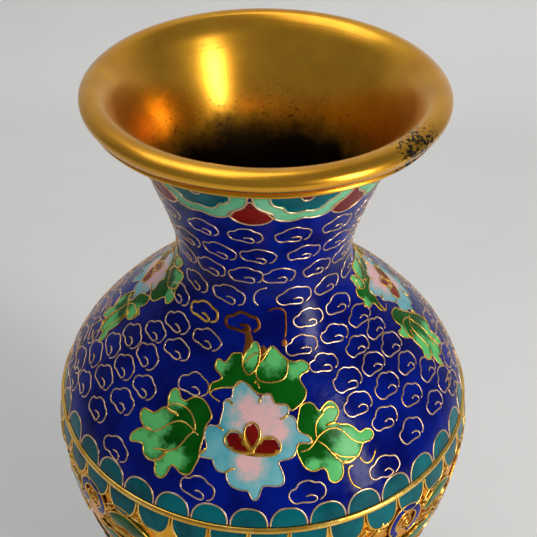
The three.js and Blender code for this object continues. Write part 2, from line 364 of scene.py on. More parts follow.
class Shader:
    """A small helper that wires nodes together."""

    def __init__(self, name):
        self.material = bpy.data.materials.new(name)
        self.material.use_nodes = True
        self.tree = self.material.node_tree
        self.shader = self.tree.nodes["Principled BSDF"]
        self.position = self.node("ShaderNodeTexCoord").outputs["Object"]

    def node(self, kind, **settings):
        made = self.tree.nodes.new(kind)
        for key, value in settings.items():
            setattr(made, key, value)
        return made

    def link(self, source, target):
        self.tree.links.new(source, target)

    def set(self, **values):
        names = {"rough": "Roughness", "metal": "Metallic", "ior": "IOR", "coat": "Coat Weight",
                 "coat_rough": "Coat Roughness", "specular": "Specular IOR Level"}
        for key, value in values.items():
            self.shader.inputs[names[key]].default_value = value

    def noise(self, scale, detail=3.0, rough=0.55, stretch=None):
        source = self.position
        if stretch:
            mapping = self.node("ShaderNodeMapping")
            mapping.inputs["Scale"].default_value = stretch
            self.link(source, mapping.inputs["Vector"])
            source = mapping.outputs["Vector"]
        made = self.node("ShaderNodeTexNoise")
        made.inputs["Scale"].default_value = scale
        made.inputs["Detail"].default_value = detail
        made.inputs["Roughness"].default_value = rough
        self.link(source, made.inputs["Vector"])
        return made.outputs["Fac"]

    def spread(self, source, low, high, to_low=0.0, to_high=1.0):
        made = self.node("ShaderNodeMapRange", interpolation_type="SMOOTHSTEP")
        limits = {"From Min": low, "From Max": high, "To Min": to_low, "To Max": to_high}
        for key, value in limits.items():
            made.inputs[key].default_value = value
        self.link(source, made.inputs["Value"])
        return made.outputs["Result"]

    def mix(self, factor, a, b):
        made = self.node("ShaderNodeMix", data_type="RGBA")
        for value, socket in ((a, made.inputs[6]), (b, made.inputs[7])):
            if isinstance(value, tuple):
                socket.default_value = value
            else:
                self.link(value, socket)
        self.link(factor, made.inputs[0])
        return made.outputs[2]

    def maths(self, operation, a, b):
        made = self.node("ShaderNodeMath", operation=operation)
        for value, socket in ((a, made.inputs[0]), (b, made.inputs[1])):
            if isinstance(value, float):
                socket.default_value = value
            else:
                self.link(value, socket)
        return made.outputs[0]

    def tint(self, grain, amount):
        """The tint attribute, with an edge made uneven by noise."""
        fac = self.node("ShaderNodeAttribute", attribute_name="tint").outputs["Fac"]
        return self.maths("ADD", fac, self.spread(grain, 0.2, 0.8, -amount, amount))

    def bump(self, height, strength, distance):
        made = self.node("ShaderNodeBump")
        made.inputs["Strength"].default_value = strength
        made.inputs["Distance"].default_value = distance
        self.link(height, made.inputs["Height"])
        self.link(made.outputs["Normal"], self.shader.inputs["Normal"])

    def colour(self, source):
        self.link(source, self.shader.inputs["Base Color"])

    def roughness(self, source):
        self.link(source, self.shader.inputs["Roughness"])


def enamel(name, deep, light, tip=None, heart=None):
    """Fired glass: cloudy colour, a few pits, a polished face with faint waves.

    tip and heart are the colours that the tint attribute shades to, at 1.
    """
    s = Shader(name)
    s.set(ior=1.45, specular=0.11)
    cloudy = s.spread(s.noise(160, 4), 0.3, 0.7)
    base = s.mix(cloudy, linear(*deep), linear(*light))
    if tip:
        base = s.mix(s.spread(s.tint(s.noise(900, 3), 0.16), 0.25, 0.75), base, linear(*tip))
    if heart:
        base = s.mix(s.spread(s.tint(s.noise(500, 4), 0.25), 0.55, 1.0), base, linear(*heart))
    fleck = s.spread(s.noise(2600, 2), 0.70, 0.78, 0.0, 0.75)
    dark = tuple(max(0, int(v * 0.35)) for v in deep)
    s.colour(s.mix(fleck, base, linear(*dark)))
    s.roughness(s.spread(s.noise(420, 4), 0.3, 0.8, 0.1, 0.26))
    strokes = s.maths("MULTIPLY", s.noise(900, 2, stretch=(0.5, 0.5, 2.2)), 0.10)
    s.bump(s.maths("ADD", s.noise(230, 3), strokes), 0.16, 0.0006)
    return s.material, name


def gilt(name, slot, bright, dull, rough=(0.16, 0.4), grain=900, bump=0.15, spots=0.0):
    """Gilded brass: two tones of gold, fine tool marks and some tarnish."""
    s = Shader(name)
    s.set(metal=1.0)
    tone = s.spread(s.noise(260, 5), 0.35, 0.65)
    base = s.mix(tone, linear(*bright), linear(*dull))
    if spots:
        black = s.spread(s.noise(1300, 5, 0.7), 0.60, 0.70, 0.0, spots)
        base = s.mix(black, base, linear(60, 38, 14))
    s.colour(base)
    s.roughness(s.spread(s.noise(700, 4), 0.25, 0.75, *rough))
    s.bump(s.noise(grain, 3), bump, 0.0003)
    return s.material, slot


# The middle of a tarnished patch on the mouth bead, in metres.
TARNISH = (0.0212, -0.0178, 0.1478)


def funnel_gold():
    """Satin gold inside the mouth, going dark, rough and specked towards the throat."""
    s = Shader("gilt_funnel")
    s.set(metal=1.0, coat=0.35, coat_rough=0.22)
    height = s.node("ShaderNodeSeparateXYZ")
    s.link(s.position, height.inputs[0])
    z = height.outputs["Z"]
    gold = s.mix(s.spread(s.noise(130, 4), 0.3, 0.7), linear(230, 168, 40), linear(212, 148, 30))
    # Lower down, by height, the gold goes dark and rough, with dark specks along the edge of the dark zone.
    drift = s.maths("ADD", z, s.spread(s.noise(240, 5, 0.6), 0.2, 0.8, -0.0014, 0.0014))
    dark_by_height = s.spread(drift, 0.1310, 0.1396, 1.0, 0.0)
    speck = s.spread(s.noise(1500, 4, 0.7), 0.56, 0.64)
    near = s.spread(drift, 0.134, 0.1420, 1.0, 0.0)
    throat_darkening = s.maths("MAXIMUM", dark_by_height, s.maths("MULTIPLY", near, speck))
    spot = s.node("ShaderNodeVectorMath", operation="DISTANCE")
    s.link(s.position, spot.inputs[0])
    spot.inputs[1].default_value = TARNISH
    patch = s.spread(spot.outputs["Value"], 0.001, 0.0065, 0.09, 0.0)
    fleck = s.spread(s.maths("ADD", s.noise(1500, 5, 0.7), patch), 0.56, 0.6)
    tarnish = s.maths("MULTIPLY", s.spread(patch, 0.0, 0.02), fleck)
    s.colour(s.mix(tarnish, s.mix(throat_darkening, gold, linear(20, 13, 8)), linear(42, 36, 16)))
    s.roughness(s.spread(throat_darkening, 0.0, 1.0, 0.27, 0.7))
    turning = s.noise(40, 2, 0.5, stretch=(0.5, 0.5, 30))
    s.bump(s.maths("ADD", turning, s.maths("MULTIPLY", s.noise(2400, 2), 0.2)), 0.05, 0.0004)
    return s.material, "gilt_brass"


def dull_copper():
    s = Shader("dull_copper")
    s.set(metal=1.0)
    s.colour(s.mix(s.spread(s.noise(300, 5), 0.3, 0.7), linear(52, 34, 22), linear(96, 58, 32)))
    s.roughness(s.spread(s.noise(500, 4), 0.2, 0.8, 0.5, 0.75))
    s.bump(s.noise(1200, 3), 0.2, 0.0003)
    return s.material, "copper"


# Looks: each is a material and the name of a slot.
COBALT = enamel("cobalt_enamel", (0, 6, 84), (0, 24, 128))
TEAL = enamel("teal_enamel", (0, 70, 78), (0, 102, 110))
MINT = enamel("mint_enamel", (84, 168, 118), (124, 192, 152), tip=(30, 120, 130))
RED = enamel("red_enamel", (96, 6, 6), (132, 20, 12))
LEAF = enamel("leaf_enamel", (0, 66, 4), (8, 94, 14), tip=(96, 192, 110))
PETAL = enamel("petal_enamel", (70, 158, 172), (120, 182, 188), tip=(150, 178, 180), heart=(226, 178, 176))
GILT = gilt("gilt_brass", "gilt_brass", (222, 170, 66), (200, 142, 40), spots=0.3)
# The belly band's gilt is painted lighter and more orange than the rings' gilt: painted light for the band,
# which faces down. Its rougher, coarser-grained finish is its own.
BAND_GILT_PAINTED_LIGHTER = gilt("gilt_band_painted_lighter", "gilt_brass", (242, 178, 54), (224, 148, 32), rough=(0.22, 0.42), grain=1600,
                 bump=0.35, spots=0.3)
WIRE = gilt("gilt_wire", "gilt_wire", (226, 192, 162), (212, 170, 124), rough=(0.2, 0.36))
BURNT = gilt("burnt_wire", "gilt_wire", (150, 92, 38), (96, 52, 18), rough=(0.32, 0.55))
BRIGHT_WIRE = gilt("bright_wire", "gilt_wire", (238, 194, 98), (214, 162, 62), rough=(0.18, 0.34))
FUNNEL = funnel_gold()
COPPER = dull_copper()
BED_GILT = (GILT[0], "gilt_wire")


# ---- Turned pieces ----
# Profiles of the gilt rings, as offsets in radius and height. The bead's are from the mouth's
# radius and the top, the flange's from that radius and the seat, the foot's from its radius.
MOUTH_BEAD = [
    (-1.15, -3.1), (-0.35, -2.5), (0, -1.7), (-0.15, -1), (-0.8, -0.4), (-1.5, -0.08), (-2.2, 0),
    (-2.9, -0.2), (-3.5, -0.58), (-4.2, -1.18), (-4.95, -1.97), (-5.65, -2.9),
]
MOUTH_FLANGE = [(-3.2, 0), (-1.7, 0.05), (-1.15, 0.35), (-1.25, 0.75), (-1.6, 0.95)]
FOOT_BEAD = [(-0.7, 0), (-0.1, 0.35), (0, 1.1), (-0.2, 1.9), (-0.9, 2.5), (-1.5, 2.9)]


def liner_wall(s):
    """Section of the liner's inner face, thinning towards the mouth."""
    return section_at(s, -WALL + (WALL - LINER_TOP_WALL) * np.exp(-s / LINER_FLARE))


def build_mouth():
    bead = np.vstack([
        np.add(MOUTH_BEAD, (MOUTH_RADIUS, HEIGHT)),
        liner_wall(np.array([LINER_TOP, LINER_TOP + 0.9])),
    ])
    flange = np.vstack([section_at(0, 0), np.add(MOUTH_FLANGE, (MOUTH_RADIUS, MOUTH_SEAT))])
    section = np.vstack([spline(flange, 5), spline(bead, 8)[:-8]])
    turned("mouth_ring_gilt", section, FUNNEL, ["mouth_ring"])


def build_shells():
    s = np.linspace(down_to(NECK_SEAM + SEAM_HALF), LINER_TOP, 40)
    neck = np.vstack([section_at(s, -UPPER_GLASS - 0.05), liner_wall(s)[::-1]])
    turned("neck_liner", neck, FUNNEL, ["copper_neck"])
    for name, low, high, node in (
        ("shoulder_shell", BODY_SEAM + SEAM_HALF, NECK_SEAM - SEAM_HALF, "copper_shoulder"),
        ("lower_shell", FOOT_BORDER + SEAM_HALF, BODY_SEAM - SEAM_HALF, "copper_lower_body"),
        ("foot_shell", FOOT_TOP + JOINT_GAP, FOOT_BORDER - SEAM_HALF, "copper_foot"),
    ):
        turned(name, skin_section(low, high, COPPER_LIFT, -WALL), COPPER, [node])


def build_base():
    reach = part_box("base_plate")[1].x / MM
    plate = [(0.4, 9.2), (reach, 8.8), (reach, 9.9), (0.4, 10.3)]
    turned("base_plate_disc", plate, COPPER, ["base_plate"], on_axis=True)
    pool_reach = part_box("base_enamel")[1].x / MM
    pool = spline([(0.4, 8.1), (pool_reach * 0.5, 8.0), (pool_reach - 0.9, 7.8), (pool_reach - 0.1, 8.1),
                   (pool_reach, 8.45), (pool_reach * 0.5, 8.65), (0.4, 8.7)], 5)
    turned("base_enamel_pool", pool, COBALT, ["base_enamel"], on_axis=True)


def build_foot():
    shelf = section_at(down_to(FOOT_TOP), 0)
    inner = section_at(down_to(FOOT_TOP), -WALL)
    outside = spline(np.vstack([np.add(FOOT_BEAD, (FOOT_RADIUS, 0)), shelf]), 6)
    section = np.vstack([[(inner[0], 0)], outside, inner])
    turned("foot_ring_gilt", section, GILT, ["foot_ring"])


def build_wire_rings():
    for name, z, proud in (("shoulder_ring", SHOULDER_RING, 0.4), ("lower_ring", LOWER_RING, 0.4),
                           ("foot_border_ring", FOOT_BORDER, 0.3)):
        s = down_to(z)
        t = np.linspace(0, math.pi, 13)
        spots = [(s + RING_HALF * math.cos(a), proud * math.sin(a) ** 0.8) for a in t]
        spots = [(s + RING_HALF, -GLASS)] + spots + [(s - RING_HALF, -GLASS)]
        section = [section_at(a, b) for a, b in spots]
        turned(name + "_gilt", section, BRIGHT_WIRE, [name])


def build_grounds():
    clear = RING_HALF + JOINT_GAP
    ground = skin_section(SHOULDER_RING + clear, MOUTH_SEAT - 0.05, 0, -UPPER_GLASS, 0.7)
    turned("upper_ground_glass", ground, COBALT, ["upper_ground"])
    ground = skin_section(FOOT_COLLAR + JOINT_GAP, LOWER_RING - clear, 0, -GLASS)
    turned("lower_ground_glass", ground, COBALT, ["lower_ground"])
    band = skin_section(LOWER_RING + clear, SHOULDER_RING - clear, -BAND_RECESS, -GLASS)
    # The band's gilt is painted lighter than the rings' gilt, as painted light.
    turned("belly_band_gilt", band, BAND_GILT_PAINTED_LIGHTER, ["belly_band"])
    collar = skin_section(FOOT_BORDER + clear, FOOT_COLLAR, 0, -GLASS)
    turned("foot_collar_glass", collar, COBALT, ["foot_collar"])
    skirt = skin_section(FOOT_TOP + JOINT_GAP, FOOT_BORDER - clear, 0, -GLASS)
    turned("foot_skirt_glass", skirt, COBALT, ["foot_enamel"])


# ---- Clouds ----
# One cloud, in millimetres from its middle: across, and up. It starts inside its hook.
CLOUD = [
    (-0.3, -0.7), (0.65, -0.6), (1.35, -1), (1.5, -1.55), (1.1, -1.95), (0.15, -1.85), (-1, -1.6),
    (-2.1, -1.6), (-2.85, -1), (-3.1, 0), (-2.7, 0.7), (-1.75, 1), (-1.25, 1.55), (-0.4, 1.9),
    (0.7, 1.85), (1.65, 1.35), (2.55, 1), (3.1, 0.25), (3.1, -0.75), (2.7, -1.45), (1.95, -1.8),
]
CLOUD_WIDTH = 6.2
CLOUD_PITCH = 6.3
LOWER_CLOUD_ROWS = 8


def cloud(wires, angle, s, width, height):
    """Adds one cloud with a small hand-made wobble."""
    tilt = math.radians(RNG.uniform(-7, 7))
    grow = RNG.uniform(0.93, 1.06)
    line = []
    for x, y in CLOUD:
        x = (x + RNG.uniform(-0.1, 0.1)) * width * grow
        y = (y + RNG.uniform(-0.08, 0.08)) * height * grow
        line.append((x * math.cos(tilt) - y * math.sin(tilt), x * math.sin(tilt) + y * math.cos(tilt)))
    line = spline(line, 6)
    turn = np.degrees(line[:, 0] / radius_at(s))
    wires.add(np.stack([angle + turn, s - line[:, 1]], 1))


# Rows of clouds on the neck and shoulder: distance down, width, height, angles seen from the front.
CLOUD_ROWS = [
    (13, 0.86, 0.88, (-54, -31, -9, 14, 38, 60)),
    (18, 0.9, 0.92, (-47, -25, -3, 22, 44)),
    (22.9, 0.86, 0.9, (-56, -34, -11, 9, 34, 57)),
    (27.4, 0.88, 0.8, (-70, -47, -22, 19, 43, 67)),
    (31.6, 0.86, 0.78, (-58, -36, -12, 26, 48, 70)),
    (35.6, 0.88, 0.82, (-49, -29, 19, 38, 58)),
    (39.2, 0.82, 0.84, (-57, -41, 27, 46)),
    (43, 0.84, 0.95, (-66, -52, -27, 34, 48, 62)),
    (47.2, 0.86, 0.98, (-58, -45, 34, 48, 62)),
    (51.4, 0.9, 0.98, (-63, -50, 41, 55, 69)),
    (55.8, 0.9, 0.98, (-69, -57, 48, 62)),
]
# Two clouds with a heavier wire, as angle and distance down. The second was overheated, and the
# solder ran from it to the calyx below.
THICK_CLOUD = (-36, 31.6)
BURNT_CLOUD = (-12, 31.6)
BURNT_SPILL = [
    [(-11, 32.6), (-8.4, 32.4), (-6.7, 33.1), (-5.1, 34.2), (-5.8, 35), (-7.4, 35.9), (-8.9, 37.1),
     (-10.4, 37.5), (-9.4, 35.9), (-9.3, 34)],
    [(-0.4, 35.1), (1.7, 35.6), (1.5, 37), (-0.6, 37.8), (-1.3, 36.7)],
    [(9.4, 34.6), (11.6, 34.2), (12.1, 35.1), (9.8, 35.4)],
]
BURNT_HOOK = [(2.6, 29.6), (6, 29.2), (10, 29.3), (12.6, 30), (12.6, 31.6), (12.2, 32.9), (11.2, 34.1)]
LOOSE_HOOK = [(2, 25.4), (-2.5, 25.8), (-5.5, 26.8), (-5.6, 28), (-3, 28.7)]
# Clouds below the sprays: distance down, width, height, angles from the spray's middle.
UNDER_SPRAY = (58.4, 0.95, 0.95, (-41, -14, 15, 38))


def near(angle, s, outlines, margin):
    """Whether a place on the skin is inside an outline or closer to it than margin."""
    scale = math.radians(1) * float(radius_at(s))
    for outline in outlines:
        turn = (outline[:, 0] - angle + 180) % 360 - 180
        if np.ptp(turn) > 180:
            continue
        flat = np.stack([turn * scale, outline[:, 1] - s], 1)
        if np.hypot(flat[:, 0], flat[:, 1]).min() < margin or inside(np.zeros((1, 2)), flat)[0]:
            return True
    return False


def fill_angles(front, pitch):
    """Angles that carry a row on round the back."""
    first, last = front[-1], front[0] + 360
    count = max(1, round((last - first) / pitch))
    step = (last - first) / count
    return [first + step * i for i in range(1, count)]


def build_upper_clouds():
    wires = Wires(half_width=0.145)
    thick = Wires(half_width=0.22, proud=0.12)
    burnt = Wires(half_width=0.28, proud=0.12)
    heavier = {THICK_CLOUD: thick, BURNT_CLOUD: burnt}
    taken = spray_outlines([*SPRAYS[1:], BACK_SPRAY])
    for s, width, height, front in CLOUD_ROWS:
        pitch = math.degrees(1.1 * CLOUD_WIDTH * width / radius_at(s))
        margin = 2.0 * width
        for a in front:
            if not near(a, s, taken, 0.6 * margin):
                cloud(heavier.get((a, s), wires), a, s, width, height)
        for a in fill_angles(front, pitch):
            if not near(a, s, taken, margin):
                cloud(wires, a, s, width, height)
    s, width, height, offsets = UNDER_SPRAY
    for centre in (SPRAYS[0].angle, BACK_SPRAY.angle):
        for a in offsets:
            cloud(wires, centre + a, s, width, height)
    for k in range(5):
        for start in (76, -126):
            a = start + 12.5 * k
            if not near(a, s, taken, 2.4):
                cloud(wires, a, s, 0.85, 0.9)
    wires.add(spline(LOOSE_HOOK))
    burnt.add(spline(BURNT_HOOK), width=0.7)
    wires.build("upper_cloud_wires", WIRE)
    thick.build("upper_cloud_wires_gold", BRIGHT_WIRE)
    burnt.build("burnt_cloud_wire", BURNT)
    spill = Cells()
    for patch in BURNT_SPILL:
        spill.add(spline(patch, 5, True), lift=0.06, depth=0.2, grid=0.25)
    spill.build("burnt_spill", BURNT)


def build_lower_clouds():
    wires = Wires()
    taken = spray_outlines(LOWER_SPRAYS)
    top = down_to(LOWER_RING) + 8.0
    low = down_to(FOOT_COLLAR) - 2.6
    for i, s in enumerate(np.linspace(top, low, LOWER_CLOUD_ROWS)):
        count = int(2 * math.pi * radius_at(s) / CLOUD_PITCH)
        for k in range(count):
            a = 360 / count * (k + 0.5 * (i % 2))
            if not near(a, s, taken, 2.3):
                cloud(wires, a, s, 0.85, 0.95)
    wires.build("lower_cloud_wires", WIRE)


# ---- Scallop rows ----
def scallop(centre, s_edge, direction, height, half_angle):
    """A half-round cell against a ring. direction is 1 for a cell below the ring, -1 above it."""
    t = np.linspace(0, math.pi, 15)
    x = np.sign(np.cos(t)) * np.abs(np.cos(t)) ** 0.85 * half_angle
    y = np.sin(t) ** 0.85 * height
    return np.stack([centre + x, s_edge + direction * y], 1)


def build_scallops():
    pitch = 360 / SCALLOPS
    for ring, ring_z in (("shoulder", SHOULDER_RING), ("lower", LOWER_RING)):
        for side, direction, shift in (("over", -1, 2.0), ("under", 1, -3.0)):
            name = f"scallops_{side}_{ring}_ring"
            s_edge = down_to(ring_z) + direction * (RING_HALF + 0.1)
            half = pitch / 2 - math.degrees(0.22 / radius_at(s_edge))
            cells = Cells()
            wires = Wires(half_width=0.16, proud=0.13)
            for i in range(SCALLOPS):
                centre = shift + pitch / 2 + pitch * i
                height = SCALLOP_HEIGHT * RNG.uniform(0.96, 1.04)
                if direction < 0:
                    height *= 0.89 - 0.09 * math.cos(math.radians(centre))
                arch = scallop(centre, s_edge, direction, height, half)
                cells.add(even(arch[::direction], 0.4), lift=0.02, depth=0.6)
                wires.add(arch)
            cells.build(name + "_glass", TEAL, [name])
            wires.build(name + "_wire", BRIGHT_WIRE if direction > 0 else WIRE)


# ---- Ruyi collar ----
def mirrored(half):
    """An outline from one half, whose last point lies on the middle line."""
    return half + [(-x, y) for x, y in reversed(half[:-1])]


# Outlines round a lappet's middle: angle away from it, and distance down.
LAPPET = mirrored([
    (-20.5, 0.4), (-21.6, 2.6), (-21.2, 4.8), (-19.5, 6.2), (-16, 7.1), (-13.6, 8.3), (-10, 9.1),
    (-5, 9.3), (0, 8.9),
])
LAPPET_HEART = mirrored([
    (-14.5, 0.8), (-15, 3.2), (-14.2, 5), (-12, 5.7), (-9.4, 6.1), (-8, 7), (-4, 7.5), (0, 7.2),
])
LAPPET_BEAD = mirrored([(-3.4, 0.8), (-3.6, 3), (-2, 4.5), (0, 4.8)])
SEGMENT = mirrored([
    (0, 4.6), (-2.6, 5.9), (-6.4, 6.9), (-9.4, 7.6), (-9.3, 8.6), (-7, 9.5), (-3.5, 10), (0, 10.15),
])[:-1]


def numbered(name, count):
    return [f"{name}_{i + 1}" for i in range(count)]


def build_collar():
    pitch = 360 / LAPPETS
    lappets, hearts, beads, segments = Cells(), Cells(), Cells(), Cells()
    wires = Wires(half_width=0.17, proud=0.12, base=0.03)
    for i in range(LAPPETS):
        middle = LAPPET_START + pitch * i
        rim = spline(np.add(LAPPET, (middle, 0)), 4)
        heart = spline(np.add(LAPPET_HEART, (middle, 0)), 4)
        bead = spline(np.add(LAPPET_BEAD, (middle, 0)), 4)
        lappets.add(rim, lift=0.03)
        hearts.add(heart, lift=0.06, depth=0.2)
        beads.add(bead, lift=0.09, depth=0.1)
        segment = spline(np.add(SEGMENT, (middle + pitch / 2, 0)), 5, closed=True)
        segments.add(segment, lift=0.03)
        for line, closed in ((rim, False), (heart, False), (bead, False), (segment, True)):
            wires.add(line, closed)
    lappets.build("collar_lappets", MINT, numbered("collar_lappet", LAPPETS))
    hearts.build("collar_hearts", TEAL)
    beads.build("collar_beads", RED)
    segments.build("collar_segments", RED, numbered("collar_segment", LAPPETS))
    wires.build("collar_wires", WIRE)


# ---- Flower sprays ----
# Outlines as they lie on the shoulder: angle from the front, and distance down. A tip or heart has
# its reach in millimetres too.
FLOWER = [
    (-11.3, 43.6), (-11.4, 42.3), (-9.8, 41.1), (-7.6, 40.9), (-5.2, 41.4), (-2.6, 42.5), (-0.6, 43.3),
    (0.4, 42.9), (1.7, 42.6), (3.1, 42.8), (4.4, 44.1), (6.4, 44.3), (8.6, 44.5), (9.3, 45.3), (9, 46.1),
    (10.6, 46.5), (11.4, 47.5), (11.5, 48.6), (12.8, 49.3), (14.6, 49.8), (15.2, 50.6), (14.2, 51),
    (12.4, 50.6), (10.8, 50.9), (10.1, 51.9), (8.4, 52.8), (5, 53.2), (5.6, 54.4), (6.2, 55.8), (5.6, 56.8),
    (3.6, 57), (0.8, 56.9), (-0.2, 57.8), (-0.8, 58.9), (-1.9, 59.2), (-2.8, 58.6), (-3.5, 57.8),
    (-5.6, 57.7), (-8, 57.2), (-9.4, 56.2), (-9.9, 55.3), (-12, 55.2), (-13.4, 54.4), (-14.2, 53.6),
    (-16.4, 53.6), (-18.3, 53.5), (-16.8, 52.6), (-16.6, 51.6), (-17.9, 50.4), (-17.9, 49.2), (-16.8, 48.5),
    (-14.2, 48.3), (-13.8, 47), (-13.6, 45.6), (-13.8, 44.4),
]
STAMEN_SPREAD = 1.2
FLOWER_HEARTS = [(-1, 46.4, 6), (4, 48.2, 4), (-3, 53.6, 3.6)]
STAMENS = [
    [(-3.4, 51.5), (-5.6, 51.8), (-8.4, 51.5), (-10.4, 50.9), (-10.8, 50), (-9.6, 49.1), (-7.8, 49),
     (-6.2, 49.6), (-5.2, 50.7)],
    [(-3.1, 51), (-4.5, 50.1), (-5.2, 48.9), (-4.7, 47.9), (-3.2, 47.5), (-1.6, 47.9), (-0.9, 48.9),
     (-1.5, 50)],
    [(-1.7, 51.7), (-0.6, 50.4), (1.2, 49.6), (3.4, 49.7), (5, 50.5), (4.9, 51.4), (3.2, 52),
     (0.8, 52)],
]
STAMEN_BED = [
    (-3.2, 47.1), (-5.4, 47.9), (-6.2, 48.9), (-9.4, 48.6), (-11.4, 49.6), (-11.3, 50.8), (-9.4, 51.8),
    (-5.4, 52.5), (0, 52.8), (4, 52.5), (5.7, 51.4), (5.2, 50), (3.2, 49.1), (0.2, 49.2),
    (-0.4, 48.2), (-1.6, 47.3),
]
FLOWER_HOOKS = [
    [(-13, 44.2), (-11.6, 44.3), (-10.2, 44.8)],
    [(-14.4, 48.4), (-13.2, 48.6), (-12.2, 48.9)],
    [(9, 46), (7.6, 46.5), (6, 46.7)],
    [(-9.9, 55.3), (-8.8, 54.8), (-7.4, 54.4)],
    [(-18.3, 53.5), (-17.6, 52.8), (-16.7, 52.1)],
    [(-0.4, 43.3), (-0.9, 43.9), (-1.2, 44.2)],
]
CALYX = [
    (-20.6, 38.3), (-18.6, 38.2), (-16.6, 38.4), (-14.6, 37), (-12.2, 36.6), (-9.8, 36.6), (-8.8, 38),
    (-4, 36.4), (0, 36.6), (4.4, 35.2), (9, 36.8), (11.4, 37.6), (14.2, 38), (17.6, 38), (20.2, 38.9),
    (19.4, 39.8), (16.6, 40.1), (15.1, 40.8), (16, 42), (16.7, 42.9), (15.4, 44.1), (12.6, 45),
    (10, 45.5), (8.8, 44.6), (4.6, 44.2), (3.2, 42.8), (0.4, 42.8), (-2.6, 42.4), (-7.6, 40.9),
    (-11.2, 42), (-15.4, 42.4), (-18.4, 43), (-20, 43.6), (-20.2, 42.2), (-17.8, 41.5),
    (-16.6, 40.9), (-18, 40.3), (-20.4, 39.6),
]
CALYX_TIPS = [(-20.5, 38.8, 3.2), (18.5, 38.9, 3.4), (14, 39.4, 2.2)]
BUDS = [
    [(-5.4, 34.8), (-3.6, 34.5), (-1.9, 35.3), (-1.4, 36.7), (-2.1, 38), (-3.6, 39.2), (-5.9, 39.8),
     (-8.2, 39), (-9.2, 37.8), (-8.2, 36.4), (-6.4, 35.6)],
    [(-2.9, 39.6), (-2.2, 38.2), (0.2, 37.2), (2.4, 36), (4.6, 35.2), (6.6, 35.8), (8.8, 36.7),
     (10.9, 37.5), (11, 38.6), (9.4, 40.2), (6.2, 40.8), (2, 40.9), (-1.2, 40.6)],
]
BUD_TIPS = [(-4.6, 36.6, 4), (4.6, 36.6, 4.4)]
LEFT_LEAF = [
    (-17, 47.2), (-18.8, 45.8), (-21, 45), (-23.2, 44.8), (-25.4, 45.1), (-27.4, 46), (-29.4, 45.9),
    (-31, 45.1), (-32.6, 44.8), (-34, 45.4), (-34.1, 46.5), (-33, 47.9), (-34.6, 48.6), (-36.4, 49.8),
    (-38.6, 50), (-40.6, 50.1), (-41.2, 51), (-40, 52), (-37.8, 52.7), (-39.4, 53.5), (-40.8, 54.8),
    (-40.2, 55.8), (-38.2, 55.4), (-36, 55.2), (-34.8, 56.3), (-32.8, 56.9), (-30.4, 56.8), (-30, 57.9),
    (-28.9, 58.8), (-27.4, 58.8), (-26.2, 57.9), (-25.4, 56.3), (-24, 56.4), (-22, 57), (-19.8, 56.7),
    (-18.8, 55.2), (-18.2, 53.8), (-18.4, 52.4), (-18.2, 50.4), (-18.2, 48.8),
]
LEFT_TIPS = [
    (-33, 46, 3.2), (-39, 51, 4.6), (-34.5, 50.8, 4.2), (-39.4, 54.8, 3.8), (-36.6, 54.2, 2.6),
    (-33, 54.6, 3.2), (-25.6, 55.4, 3.6), (-28.2, 57.8, 3.2), (-29.5, 46.4, 2),
]
LEFT_VEINS = [
    [(-19.9, 50.5), (-21.4, 50), (-23.2, 49.5), (-25.5, 49.2), (-28, 49.5), (-30.2, 50.4), (-32, 51.6),
     (-34.2, 52.6)],
    [(-21.2, 49.9), (-22, 48.8), (-23.4, 47.8), (-25.6, 47.1), (-28, 46.9), (-30.2, 47), (-32, 47.4),
     (-33, 48)],
    [(-21.5, 50.1), (-23, 51.1), (-24.3, 52.6), (-25.6, 53.6), (-27.6, 54.3), (-30, 54.6), (-32.2, 55)],
    [(-27.8, 54.5), (-28.8, 55.5), (-30, 56.3), (-31.6, 56.8)],
]
LEFT_GOLD = [
    [(-33.2, 48.2), (-31, 48.4), (-29, 48.4), (-28.2, 48.7)],
    [(-37.7, 52.7), (-36.2, 52.6), (-34.8, 52.5)],
    [(-28.2, 54.6), (-28.9, 55.6), (-29.9, 56.4)],
]
RIGHT_LEAF = [
    (11.5, 47.6), (12.4, 46.3), (13.3, 45.2), (15, 44.7), (16.8, 44.7), (18.4, 45.2), (19.6, 46.3),
    (21.4, 45.8), (23.4, 45.3), (25.2, 45.5), (26.4, 46.5), (26.1, 47.6), (24.2, 48.5), (25.4, 49.2),
    (27.8, 49.6), (29.6, 50.4), (31, 51.5), (33.4, 51.4), (34.9, 52), (35, 52.9), (33.2, 53.4),
    (31, 53.3), (29.4, 54.2), (28, 54.9), (25.6, 55.2), (23.2, 55), (22.8, 56.4), (21.6, 57.5),
    (19.8, 57.8), (18.4, 57.1), (18.2, 55.8), (17.2, 55.1), (14.6, 55.3), (12.4, 54.6), (11.2, 53.3),
    (10.4, 51.8), (11.2, 50.8), (13.2, 50.8), (15.4, 50.9), (14.8, 49.8), (12.6, 49.2), (11.5, 48.4),
]
RIGHT_TIPS = [
    (24.5, 46.8, 4), (33, 52.3, 4.6), (28.5, 51.2, 3.2), (26, 53.2, 4.2), (20, 56.2, 4.2),
    (21.5, 48, 2.6), (14.5, 54.8, 2.4),
]
RIGHT_VEINS = [
    [(11.5, 52), (14, 51.8), (16, 51), (17.6, 50.2), (19.8, 49.6), (22, 49.4), (24.2, 49.7), (26, 50.6),
     (27.6, 51.9), (29.2, 52.8), (31.2, 53.3)],
    [(17, 50.3), (17.1, 49.2), (17.8, 48.1), (19.4, 47.3), (21.4, 46.7)],
    [(17.2, 50.8), (19, 51.7), (20.4, 52.8), (21.6, 53.8), (23, 55)],
    [(21, 53), (22.6, 53.9), (25, 54.5), (27.8, 54.9)],
]
RIGHT_GOLD = [
    [(20.6, 46.7), (22.4, 46.1), (24.4, 46.2), (25.2, 46.6)],
    [(20.8, 48.8), (22.6, 48.7), (24.6, 48.7)],
    [(20.2, 52.8), (21.2, 53.6), (22, 54.3)],
    [(23.2, 55.1), (25.2, 55.3), (27.6, 54.9)],
]
